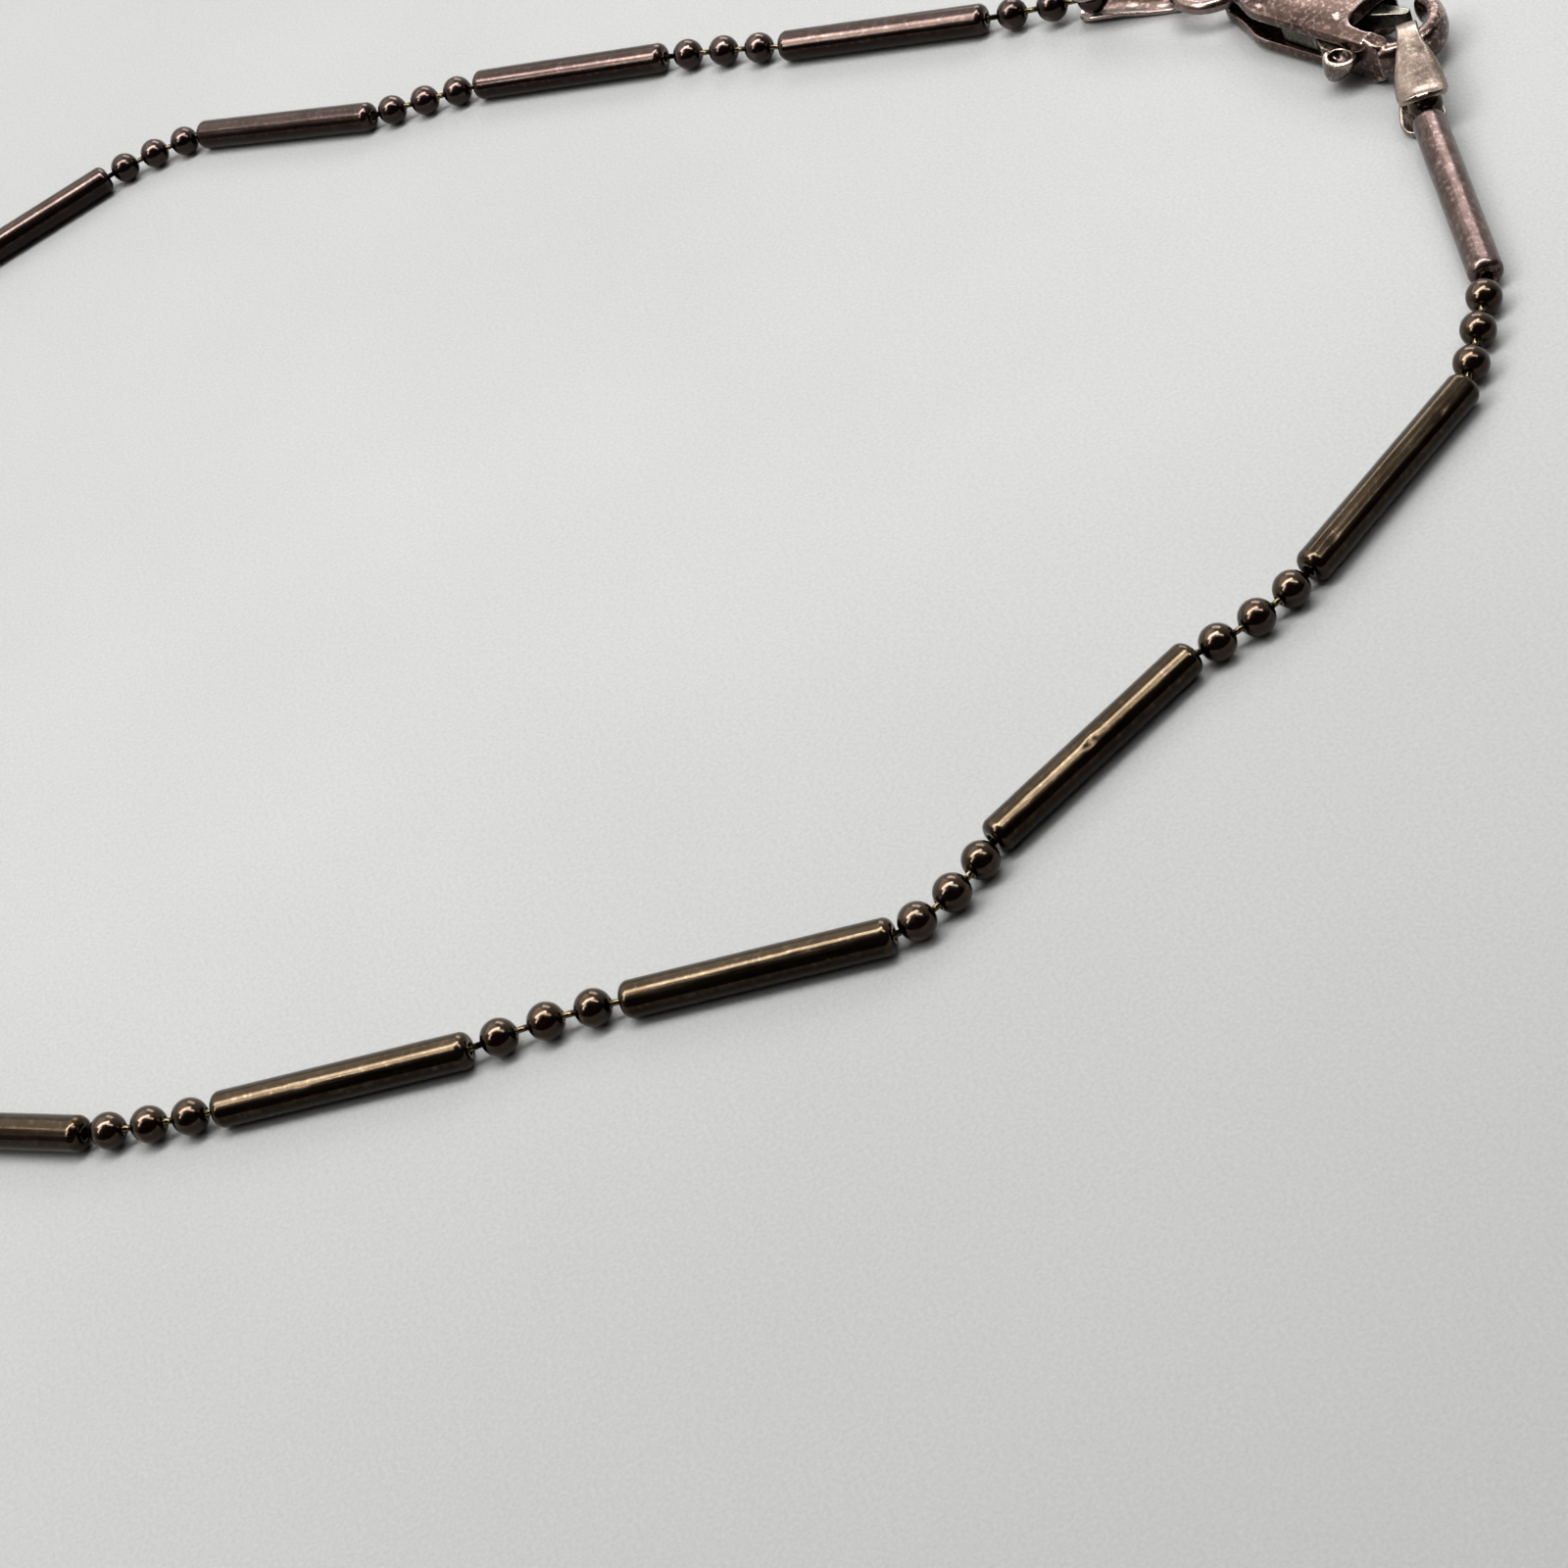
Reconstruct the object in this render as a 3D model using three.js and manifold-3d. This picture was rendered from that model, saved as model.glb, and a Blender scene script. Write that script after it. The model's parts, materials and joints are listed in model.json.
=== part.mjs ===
// Bar-and-bead chain necklace with a lobster clasp, closed and laid in a loop on a flat surface.
// Millimetres, +Z up. The surface is z = 0 and the origin is under the middle of the laid loop.
// Each hollow bar is joined to a run of three beads by headed pins, whose heads sit inside the bar.

import * as THREE from 'three';
import * as BufferGeometryUtils from 'three/addons/utils/BufferGeometryUtils.js';
import Module from 'manifold-3d';

const wasm = await Module();
wasm.setup();

// Chain
const CHAIN_RADIUS = 0.75; // bars and beads are the same thickness
const BAR_LENGTH = 10.8;
const BAR_WALL = 0.13;
const BAR_BORE_RADIUS = 0.6;
const PIN_HOLE_RADIUS = 0.3;
const END_FACE_RADIUS = 0.5;
const END_ROUNDING = 0.24;
const BORE_ROUNDING = 0.08;
const PIN_RADIUS = 0.14;
const PIN_HEAD_RADIUS = 0.26;
const PIN_HEAD_START = 0.36; // from the middle of the bar's end wall
const PIN_HEAD_LENGTH = 0.18;
const PIN_HEAD_RIM = 0.108; // from the head's start to its widest place
const LOOSE_PIN_HEAD_START = -0.2; // the loop's loose pin ends outside the bar it would hook into

// Lobster clasp, along its own x from the tail eye to the hook, lying on its flat side
const CLASP_THICKNESS = 2.5;
const CLASP_HALF_WIDTH = 2.05;
const CLASP_EDGE = 0.18;
const SLOT_BOTTOM = 0.75;
const SLOT_HEIGHT = 1.0;
const TAIL_END_X = -1.35;
const TAIL_POST_RADIUS = 1.4; // of the post's hollow face, about the jump ring's centre
const SPINE_START_X = 0.2;
const SPINE_FACE_Y = 0.95;
const HOOK_CENTRE = new THREE.Vector2(8.6, 0);
const HOOK_OUTER_RADIUS = 2.4;
const HOOK_INNER_RADIUS = 1.4;
const HOOK_THICKNESS = 1.6;
const HOOK_START_DEG = -60;
const HOOK_TIP_DEG = 98;
const ARM_END_X = 9.6;
const ARM_TAPER_X = 8.9;
const LEVER_PIVOT = new THREE.Vector2(5.0, 0.2);
const LEVER_THICKNESS = 0.86;
const LEVER_EDGE = 0.06;
const THUMB_TAB_BOTTOM = 0.35;
const THUMB_TAB_HEIGHT = 1.33;
const THUMB_TAB_EDGE = 0.1;
const THUMB_SCOOP_RADIUS = 1.3;
const THUMB_SCOOP_DEPTH = 0.3;
const LEVER_PIN_RADIUS = 0.3;
const LEVER_PIN_CLEARANCE = 0.07;
const LEVER_PIN_INSET = 0.05; // below the faces of the side plates
const SPRING_LEAF = 0.1;
const SPRING_HEIGHT = 0.7;

// Jump ring and folded end tags
const RING_RADIUS = 1.85; // to the middle of the wire
const RING_WIRE_RADIUS = 0.35;
const RING_CENTRE = new THREE.Vector2(-2.25, 0); // in the clasp's frame
const TAG_THICKNESS = 0.28;
const TAG_FOLD_DEPTH = 1.16;
const TAG_FOLD_X = 1.11;
const TAG_FOLD_HALF_WIDTH = 0.48;
const TAG_BEAD_REACH = 4.78; // from the fold to the bead held between the leaves
const TAG_BEAD_HEIGHT = 1.08;
const TAG_CUP_HEIGHT = 2.02; // to the middle of the upper leaf where it covers the bead
const TAG_MOUTH_REACH = 5.8;

// Where the pieces lie. Headings are degrees counterclockwise from +X, seen from above.
const CLASP_EYE = new THREE.Vector3(35.6, 129.98, 0);
const CLASP_HEADING = -67;
const RING_TAG_HEADING = 141;
const RING_TAG_INSET = 0.59; // from the middle of the ring's wire back to the tag's fold
const HOOK_TAG_FOLD = new THREE.Vector3(39.34, 121.3, 0);
const HOOK_TAG_HEADING = 250.6;
const RING_SIDE_FIRST_RUN = [144.7, 144.7, 0.546];
const RING_SIDE_FIRST_DROPS = [0.15, 0.13, 0.05];
const RING_SIDE_FIRST_BAR_HEADING = 144;
const HOOK_SIDE_PIN_HEADING = 249;
const HOOK_SIDE_PIN_GAP = 0.345;
const HOOK_SIDE_PIN_DROP = 0.03;
const HOOK_SIDE_FIRST_BAR_HEADING = 255;

// Each link of the route is a run of beads and the bar after it:
// heading of the run's first pin, heading of its last pin, gap beside each bead, heading of the bar.
const RING_SIDE_LINKS = [
  [137, 143, 0.5, 145],
  [156, 159, 0.33, 142],
  [161, 182, 0.25, 188],
  [183, 177, 0.33, 172],
  [168, 164, 0.33, 160],
  [160, 160, 0.33, 160],
  [163, 167, 0.33, 170],
  [177, 185, 0.33, 192],
  [201, 214, 0.33, 223],
  [234, 248, 0.33, 258],
];
const LOOSE_RUN = [268, 282, 0.33];
const HOOK_SIDE_LINKS = [
  [236, 233, 0.43, 208],
  [204, 177, 0.28, 200],
  [219, 183, 0.2, 160],
  [159, 171, 0.42, 160],
  [159, 152, 0.3, 143],
  [149, 156, 0.33, 162],
  [165, 169, 0.33, 172],
  [172, 172, 0.33, 172],
  [170, 166, 0.33, 164],
  [158, 149, 0.33, 143],
  [134, 122, 0.33, 113],
];

// Mesh fineness
const BAR_SIDES = 10;
const BEAD_SIDES = 8;
const BEAD_RING_DEGREES = [26, 66, 114, 154];
const RING_SIDES = 8;
const RING_SEGMENTS = 20;
const PIN_SIDES = 12;
const ARC_STEP_DEG = 20;
const TAG_LANES = [-1, -0.55, 0, 0.55, 1]; // across the strip, in half widths

const rad = THREE.MathUtils.degToRad;

// Metal looks, as colour and roughness
const LOOKS = {
  ringSide: [0x5c4d4a, 0.36],
  hookSide: [0x5b5546, 0.38],
  clasp: [0x8d7f7b, 0.4],
  lever: [0x4c4e49, 0.45],
  pin: [0xa9a08c, 0.35],
};

const group = new THREE.Group();
const necklace = new THREE.Group();
const clasp = new THREE.Group();
group.add(necklace);
necklace.add(clasp);

function addPiece(name, geometry, look, parent = necklace) {
  const [color, roughness] = LOOKS[look];
  const mesh = new THREE.Mesh(geometry, new THREE.MeshStandardMaterial({ color, roughness, metalness: 0.9 }));
  mesh.name = name;
  parent.add(mesh);
  return mesh;
}

// ---------- joining and cutting ----------

function toSolid(geometry) {
  const bare = geometry.index ? geometry.toNonIndexed() : geometry.clone();
  bare.deleteAttribute('normal');
  bare.deleteAttribute('uv');
  const merged = BufferGeometryUtils.mergeVertices(bare, 1e-4);
  return new wasm.Manifold(new wasm.Mesh({
    numProp: 3,
    vertProperties: new Float32Array(merged.attributes.position.array),
    triVerts: new Uint32Array(merged.index.array),
  }));
}

function toGeometry(solid) {
  const mesh = solid.getMesh();
  const geometry = new THREE.BufferGeometry();
  geometry.setAttribute('position', new THREE.BufferAttribute(new Float32Array(mesh.vertProperties), 3));
  geometry.setIndex(new THREE.BufferAttribute(new Uint32Array(mesh.triVerts), 1));
  geometry.computeVertexNormals();
  return geometry;
}

// ---------- shape helpers ----------

const corners = (...pairs) => pairs.map(([x, y]) => new THREE.Vector2(x, y));

const mirrored = (points) => points.map((point) => new THREE.Vector2(point.x, -point.y)).reverse();

function onCircle(centre, radius, degrees) {
  const angle = rad(degrees);
  return new THREE.Vector2(centre.x + radius * Math.cos(angle), centre.y + radius * Math.sin(angle));
}

function arcPoints(centre, radius, fromDeg, toDeg) {
  const steps = Math.round(Math.abs(toDeg - fromDeg) / ARC_STEP_DEG);
  const step = (toDeg - fromDeg) / steps;
  return Array.from({ length: steps + 1 }, (_, i) => onCircle(centre, radius, fromDeg + step * i));
}

// A flat plate of the given outline, its edges bevelled inwards.
function plate(outline, bottom, height, bevel = 0) {
  const geometry = new THREE.ExtrudeGeometry(new THREE.Shape(outline), {
    depth: height - 2 * bevel,
    steps: 1,
    curveSegments: 1,
    bevelEnabled: bevel > 0,
    bevelThickness: bevel,
    bevelSize: bevel,
    bevelOffset: -bevel,
    bevelSegments: 1,
  });
  geometry.translate(0, 0, bottom + bevel);
  return geometry;
}

function uprightCylinder(place, radius, bottom, height) {
  const geometry = new THREE.CylinderGeometry(radius, radius, height, PIN_SIDES);
  geometry.rotateX(Math.PI / 2);
  geometry.translate(place.x, place.y, bottom + height / 2);
  return geometry;
}

function indexedGeometry(vertices, index) {
  const geometry = new THREE.BufferGeometry().setFromPoints(vertices);
  geometry.setIndex(index);
  geometry.computeVertexNormals();
  return geometry;
}

// Rings of points joined into one closed skin, with a point at each end.
function skinRings(firstPoint, rings, lastPoint) {
  const sides = rings[0].length;
  const vertices = [firstPoint, ...rings.flat(), lastPoint];
  const last = vertices.length - 1;
  const at = (ring, side) => 1 + ring * sides + (side % sides);
  const index = [];
  for (let side = 0; side < sides; side += 1) {
    index.push(0, at(0, side + 1), at(0, side));
    index.push(last, at(rings.length - 1, side), at(rings.length - 1, side + 1));
    for (let ring = 0; ring < rings.length - 1; ring += 1) {
      index.push(at(ring, side), at(ring, side + 1), at(ring + 1, side));
      index.push(at(ring, side + 1), at(ring + 1, side + 1), at(ring + 1, side));
    }
  }
  return indexedGeometry(vertices, index);
}

// ---------- chain pieces ----------

// A hollow bar with rolled-in ends, along +X from the middle of its first end wall.
function barGeometry() {
  const half = BAR_WALL / 2;
  const outside = [[PIN_HOLE_RADIUS, -half], [END_FACE_RADIUS, -half], [CHAIN_RADIUS, END_ROUNDING]];
  const inside = [[PIN_HOLE_RADIUS, half], [END_FACE_RADIUS, half], [BAR_BORE_RADIUS, half + BORE_ROUNDING]];
  const atFarEnd = ([radius, y]) => [radius, BAR_LENGTH - BAR_WALL - y];
  const profile = [
    ...outside,
    ...outside.map(atFarEnd).reverse(),
    ...inside.map(atFarEnd),
    ...[...inside].reverse(),
    outside[0],
  ];
  const geometry = new THREE.LatheGeometry(corners(...profile), BAR_SIDES);
  geometry.rotateZ(-Math.PI / 2);
  return geometry;
}

const shifted = (place, direction, distance) => place.clone().addScaledVector(direction, distance);

// A ring of points on a pin or bead, square to its direction.
function crossRing(place, direction, radius) {
  const side = new THREE.Vector3(-direction.y, direction.x, 0).normalize();
  const up = new THREE.Vector3().crossVectors(direction, side);
  return Array.from({ length: BEAD_SIDES }, (_, k) => {
    const angle = (2 * Math.PI * k) / BEAD_SIDES;
    return shifted(shifted(place, side, radius * Math.cos(angle)), up, radius * Math.sin(angle));
  });
}

function beadRings(centre, direction) {
  const widest = Math.sin(rad(BEAD_RING_DEGREES[1]));
  return BEAD_RING_DEGREES.map((degrees) => {
    const place = shifted(centre, direction, -CHAIN_RADIUS * Math.cos(rad(degrees)));
    return crossRing(place, direction, (CHAIN_RADIUS * Math.sin(rad(degrees))) / widest);
  });
}

// A pin's headed end, which starts the given way beyond its stop.
// outwards is 1 at the end of a run and -1 at its start.
function pinHead(stop, direction, start, outwards) {
  const at = (distance) => shifted(stop, direction, outwards * distance);
  return {
    neck: crossRing(at(start), direction, PIN_RADIUS),
    rim: crossRing(at(start + PIN_HEAD_RIM), direction, PIN_HEAD_RADIUS),
    tip: at(start + PIN_HEAD_LENGTH),
  };
}

// Beads and the pins between them, as one skin through the given stops.
// The last stop is a pin's end, and the first is one too unless it is a bead.
function beadRunGeometry(stops, startsWithBead, endHeadStart) {
  const last = stops.length - 1;
  const directions = stops.slice(1).map((stop, i) => stop.clone().sub(stops[i]).normalize());
  const surface = Math.sqrt(CHAIN_RADIUS ** 2 - PIN_RADIUS ** 2);
  const startHead = pinHead(stops[0], directions[0], PIN_HEAD_START, -1);
  const endHead = pinHead(stops[last], directions[last - 1], endHeadStart, 1);
  const rings = startsWithBead ? [] : [startHead.rim, startHead.neck];
  for (let i = startsWithBead ? 0 : 1; i < last; i += 1) {
    const leaving = directions[i];
    const arriving = i > 0 ? directions[i - 1] : leaving;
    if (i > 0) rings.push(crossRing(shifted(stops[i], arriving, -surface), arriving, PIN_RADIUS));
    rings.push(...beadRings(stops[i], arriving.clone().add(leaving).normalize()));
    rings.push(crossRing(shifted(stops[i], leaving, surface), leaving, PIN_RADIUS));
  }
  rings.push(endHead.neck, endHead.rim);
  const firstPoint = startsWithBead ? shifted(stops[0], directions[0], -CHAIN_RADIUS) : startHead.tip;
  return skinRings(firstPoint, rings, endHead.tip);
}

// ---------- laying the chain along its route ----------

function stepFrom(place, headingDeg, distance, drop = 0) {
  const x = place.x + distance * Math.cos(rad(headingDeg));
  const y = place.y + distance * Math.sin(rad(headingDeg));
  return new THREE.Vector3(x, y, place.z - drop);
}

const pinReach = (gap) => BAR_WALL / 2 + gap + CHAIN_RADIUS;

// Where the pins of a run of three beads turn, from the end wall of one bar to that of the next.
function runStops(start, [firstHeading, lastHeading, gap]) {
  const lengths = [pinReach(gap), 2 * CHAIN_RADIUS + gap, 2 * CHAIN_RADIUS + gap, pinReach(gap)];
  const stops = [start];
  lengths.forEach((length, i) => {
    const heading = firstHeading + ((lastHeading - firstHeading) * i) / (lengths.length - 1);
    stops.push(stepFrom(stops[i], heading, length));
  });
  return stops;
}

// The same from the bead that a tag holds, which is lifted off the surface.
function firstRunStops(bead, [heading, , gap], drops) {
  const lengths = [2 * CHAIN_RADIUS + gap, 2 * CHAIN_RADIUS + gap, pinReach(gap)];
  const stops = [bead];
  lengths.forEach((length, i) => stops.push(stepFrom(stops[i], heading, length, drops[i])));
  return stops;
}

const counts = { bar: 0, bead_run: 0 };

function nextName(kind) {
  counts[kind] += 1;
  return `${kind}_${String(counts[kind]).padStart(2, '0')}`;
}

function addRun(name, stops, look, startsWithBead = false, endHeadStart = PIN_HEAD_START) {
  const local = stops.map((stop) => stop.clone().sub(stops[0]));
  const mesh = addPiece(name, beadRunGeometry(local, startsWithBead, endHeadStart), look);
  mesh.position.copy(stops[0]);
  return stops[stops.length - 1];
}

function addBar(start, headingDeg, look, drop = 0) {
  const span = BAR_LENGTH - BAR_WALL;
  const mesh = addPiece(nextName('bar'), barGeometry(), look);
  mesh.position.copy(start);
  mesh.rotation.set(0, Math.asin(drop / span), rad(headingDeg), 'ZYX');
  return stepFrom(start, headingDeg, Math.sqrt(span ** 2 - drop ** 2), drop);
}

function addLinks(start, links, look) {
  let end = start;
  for (const link of links) {
    end = addRun(nextName('bead_run'), runStops(end, link), look);
    end = addBar(end, link[3], look);
  }
  return end;
}

// ---------- clasp, in its own frame ----------

function claspOutline() {
  const tail = corners([TAIL_END_X, -0.5], [-0.95, -0.95], [0.68, -1.44], [2.0, -CLASP_HALF_WIDTH]);
  const armEnd = corners([9.35, -CLASP_HALF_WIDTH], [ARM_END_X, -1.85], [ARM_END_X, -1.1]);
  const throat = corners([8.6, -HOOK_INNER_RADIUS], [7.5, -1.3], [7.1, -0.9], [7.1, 0.9], [7.4, 1.6]);
  return [...tail, ...armEnd, ...throat, ...corners([7.15, CLASP_HALF_WIDTH]), ...mirrored(tail)];
}

// The open space between the two side plates, seen from above.
function slotOutline() {
  const nearSide = corners([-1.4, -3.2], [7.6, -3.2], [7.6, -1.25], [7.9, -1.0]);
  const gateWay = corners([7.9, 1.75], [7.0, 1.75], [6.2, 1.45], [5.3, SPINE_FACE_Y]);
  const farSide = corners([SPINE_START_X, SPINE_FACE_Y], [SPINE_START_X, 3.2], [-1.4, 3.2]);
  return [...nearSide, ...gateWay, ...farSide, ...arcPoints(RING_CENTRE, TAIL_POST_RADIUS, 50, -50)];
}

function hookOutline() {
  const outer = arcPoints(HOOK_CENTRE, HOOK_OUTER_RADIUS, HOOK_START_DEG, HOOK_TIP_DEG - 6);
  const tip = onCircle(HOOK_CENTRE, (HOOK_OUTER_RADIUS + HOOK_INNER_RADIUS) / 2, HOOK_TIP_DEG);
  const inner = arcPoints(HOOK_CENTRE, HOOK_INNER_RADIUS, HOOK_TIP_DEG - 6, HOOK_START_DEG);
  return [...outer, tip, ...inner];
}

// Wedges cut from above and below, thinning the arm to the hook's thickness.
function armTaper() {
  const inset = (CLASP_THICKNESS - HOOK_THICKNESS) / 2;
  const wedge = corners([ARM_TAPER_X, 0], [ARM_TAPER_X, -1], [11, -1], [11, inset], [ARM_END_X, inset]);
  const geometry = plate(wedge, -3, 6);
  geometry.rotateX(Math.PI / 2);
  const below = toSolid(geometry);
  const above = below.mirror([0, 0, 1]).translate([0, 0, CLASP_THICKNESS]);
  return below.add(above);
}

function leverPinHole() {
  const radius = LEVER_PIN_RADIUS + LEVER_PIN_CLEARANCE;
  return toSolid(uprightCylinder(LEVER_PIVOT, radius, -1, CLASP_THICKNESS + 2));
}

function claspBodyGeometry() {
  const inset = (CLASP_THICKNESS - HOOK_THICKNESS) / 2;
  const body = toSolid(plate(claspOutline(), 0, CLASP_THICKNESS, CLASP_EDGE))
    .subtract(toSolid(plate(slotOutline(), SLOT_BOTTOM, SLOT_HEIGHT)))
    .subtract(leverPinHole())
    .subtract(armTaper())
    .add(toSolid(plate(hookOutline(), inset, HOOK_THICKNESS, CLASP_EDGE)));
  return toGeometry(body);
}

// The lever's gate closes the hook, its heel bears on the spring and its tab stands out at the side.
function leverGeometry() {
  const heel = corners([4.6, 0.72], [3.3, 0.15], [3.1, -0.5], [3.1, -1.4]);
  const tabArm = corners([3.5, -1.75], [5.7, -1.85], [6.5, -2.4], [7.4, -2.4], [7.4, -1.95], [6.0, -0.25]);
  const gate = corners([8.6, 0.85], [8.75, 1.05], [8.6, 1.28], [5.1, 0.82]);
  const bottom = SLOT_BOTTOM + (SLOT_HEIGHT - LEVER_THICKNESS) / 2;
  const arms = toSolid(plate([...heel, ...tabArm, ...gate], bottom, LEVER_THICKNESS, LEVER_EDGE));
  const tabNear = corners([6.55, -2.2], [6.6, -2.75], [7.3, -3.25]);
  const tabOutline = [...tabNear, ...corners([7.9, -3.2], [8.45, -2.6], [8.4, -2.2])];
  const tab = toSolid(plate(tabOutline, THUMB_TAB_BOTTOM, THUMB_TAB_HEIGHT, THUMB_TAB_EDGE));
  const scoop = new THREE.SphereGeometry(THUMB_SCOOP_RADIUS, 14, 10);
  scoop.translate(7.55, -2.95, THUMB_TAB_BOTTOM + THUMB_TAB_HEIGHT - THUMB_SCOOP_DEPTH + THUMB_SCOOP_RADIUS);
  return toGeometry(arms.add(tab).subtract(toSolid(scoop)).subtract(leverPinHole()));
}

// A folded leaf between the clasp's spine and the lever's heel.
function springGeometry() {
  const spineSide = SPINE_FACE_Y - LEVER_EDGE;
  const outer = corners([4.1, spineSide], [2.9, spineSide], [2.5, 0.66], [2.9, 0.3], [3.7, 0.44]);
  const inner = corners([3.7, 0.44 + SPRING_LEAF], [2.94, 0.3 + SPRING_LEAF], [2.64, 0.66]);
  const end = corners([2.94, spineSide - SPRING_LEAF], [4.1, spineSide - SPRING_LEAF]);
  return plate([...outer, ...inner, ...end], (CLASP_THICKNESS - SPRING_HEIGHT) / 2, SPRING_HEIGHT);
}

// ---------- folded tags ----------

// Stations along the strip, from the mouth of the lower leaf round the fold to that of the upper leaf:
// distance from the fold, height and slope in degrees of the strip's middle, half width, edge curl.
function tagStations() {
  const low = TAG_THICKNESS / 2;
  const middle = CLASP_THICKNESS / 2;
  const high = CLASP_THICKNESS - low;
  const fold = [180, 135, 90, 45, 0].map((slope) => [
    TAG_FOLD_X - TAG_FOLD_DEPTH * Math.sin(rad(slope)),
    middle + (middle - low) * Math.cos(rad(slope)),
    slope,
    TAG_FOLD_HALF_WIDTH,
    0,
  ]);
  return [
    [TAG_MOUTH_REACH, low + 0.08, 195, 0.45, 0.02],
    [5.5, low, 182, 0.95, 0.18],
    [TAG_BEAD_REACH, low, 180, 1.12, 0.3],
    [3.6, low, 180, 1.0, 0.26],
    [2.2, low, 180, 0.62, 0.08],
    ...fold,
    [2.2, high - 0.05, -4, 0.62, 0.08],
    [3.6, TAG_CUP_HEIGHT + 0.15, -8, 1.0, 0.26],
    [TAG_BEAD_REACH, TAG_CUP_HEIGHT, -2, 1.12, 0.3],
    [5.5, TAG_CUP_HEIGHT, 8, 0.95, 0.18],
    [TAG_MOUTH_REACH, TAG_CUP_HEIGHT + 0.08, 18, 0.45, 0.02],
  ];
}

// The strip's points on one face, 1 being the outer face and -1 the inner.
function tagFace([x, z, slope, halfWidth, curl], face) {
  const normal = new THREE.Vector3(-Math.sin(rad(slope)), 0, Math.cos(rad(slope)));
  return TAG_LANES.map((lane) => {
    const point = new THREE.Vector3(x, lane * halfWidth, z);
    return shifted(point, normal, (face * TAG_THICKNESS) / 2 - curl * lane ** 2);
  });
}

function tagGeometry() {
  const stations = tagStations();
  const lanes = TAG_LANES.length;
  const vertices = [1, -1].flatMap((face) => stations.flatMap((station) => tagFace(station, face)));
  const outer = (i, j) => i * lanes + j;
  const inner = (i, j) => (stations.length + i) * lanes + j;
  const index = [];
  const quad = (a, b, c, d) => index.push(a, b, c, b, d, c);
  const last = stations.length - 1;
  for (let i = 0; i < last; i += 1) {
    for (let j = 0; j < lanes - 1; j += 1) {
      quad(outer(i, j), outer(i + 1, j), outer(i, j + 1), outer(i + 1, j + 1));
      quad(inner(i, j), inner(i, j + 1), inner(i + 1, j), inner(i + 1, j + 1));
    }
    quad(inner(i, lanes - 1), outer(i, lanes - 1), inner(i + 1, lanes - 1), outer(i + 1, lanes - 1));
    quad(inner(i, 0), inner(i + 1, 0), outer(i, 0), outer(i + 1, 0));
  }
  for (let j = 0; j < lanes - 1; j += 1) {
    quad(inner(0, j), outer(0, j), inner(0, j + 1), outer(0, j + 1));
    quad(inner(last, j), inner(last, j + 1), outer(last, j), outer(last, j + 1));
  }
  return indexedGeometry(vertices, index);
}

// Adds a tag and returns the middle of the bead it holds.
function addTag(name, fold, headingDeg) {
  const mesh = addPiece(name, tagGeometry(), 'clasp');
  mesh.position.copy(fold);
  mesh.rotation.z = rad(headingDeg);
  return stepFrom(fold, headingDeg, TAG_BEAD_REACH, -TAG_BEAD_HEIGHT);
}

// ---------- the necklace ----------

clasp.position.copy(CLASP_EYE);
clasp.rotation.z = rad(CLASP_HEADING);
addPiece('clasp_body', claspBodyGeometry(), 'clasp', clasp);
addPiece('clasp_lever', leverGeometry(), 'lever', clasp);
const leverPinLength = CLASP_THICKNESS - 2 * LEVER_PIN_INSET;
const leverPin = uprightCylinder(LEVER_PIVOT, LEVER_PIN_RADIUS, LEVER_PIN_INSET, leverPinLength);
addPiece('lever_pin', leverPin, 'pin', clasp);
addPiece('lever_spring', springGeometry(), 'pin', clasp);

const ringCentre = stepFrom(CLASP_EYE, CLASP_HEADING, RING_CENTRE.x, -CLASP_THICKNESS / 2);
const ringGeometry = new THREE.TorusGeometry(RING_RADIUS, RING_WIRE_RADIUS, RING_SIDES, RING_SEGMENTS);
const ring = addPiece('jump_ring', ringGeometry, 'clasp');
ring.position.copy(ringCentre);
ring.rotation.z = rad(CLASP_HEADING);

const ringTagFold = stepFrom(ringCentre, RING_TAG_HEADING, RING_RADIUS - RING_TAG_INSET, ringCentre.z);
const ringBead = addTag('ring_side_tag', ringTagFold, RING_TAG_HEADING);
const firstStops = firstRunStops(ringBead, RING_SIDE_FIRST_RUN, RING_SIDE_FIRST_DROPS);
let ringSideEnd = addRun(nextName('bead_run'), firstStops, 'ringSide', true);
ringSideEnd = addBar(ringSideEnd, RING_SIDE_FIRST_BAR_HEADING, 'ringSide');
ringSideEnd = addLinks(ringSideEnd, RING_SIDE_LINKS, 'ringSide');
const looseStops = runStops(ringSideEnd, LOOSE_RUN);
addRun(nextName('bead_run'), looseStops, 'ringSide', false, LOOSE_PIN_HEAD_START);

const hookBead = addTag('hook_side_tag', HOOK_TAG_FOLD, HOOK_TAG_HEADING);
const hookPinEnd = stepFrom(hookBead, HOOK_SIDE_PIN_HEADING, pinReach(HOOK_SIDE_PIN_GAP), HOOK_SIDE_PIN_DROP);
const hookBarStart = addRun('end_bead', [hookBead, hookPinEnd], 'hookSide', true);
const hookBarDrop = hookBarStart.z - CHAIN_RADIUS;
const hookSideStart = addBar(hookBarStart, HOOK_SIDE_FIRST_BAR_HEADING, 'hookSide', hookBarDrop);
addLinks(hookSideStart, HOOK_SIDE_LINKS, 'hookSide');

// Centre the laid loop over the origin, resting on z = 0.
const box = new THREE.Box3().setFromObject(group);
const middle = box.getCenter(new THREE.Vector3());
necklace.position.set(-middle.x, -middle.y, -box.min.z);

export default group;
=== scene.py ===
"""Bar-and-bead chain necklace with a lobster clasp, laid closed on a pale surface.

Pieces are drawn in millimetres in the frame the route is laid in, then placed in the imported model's frame in metres.
"""

import json
import math

import bmesh
import bpy
from mathutils import Matrix, Vector, noise


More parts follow.
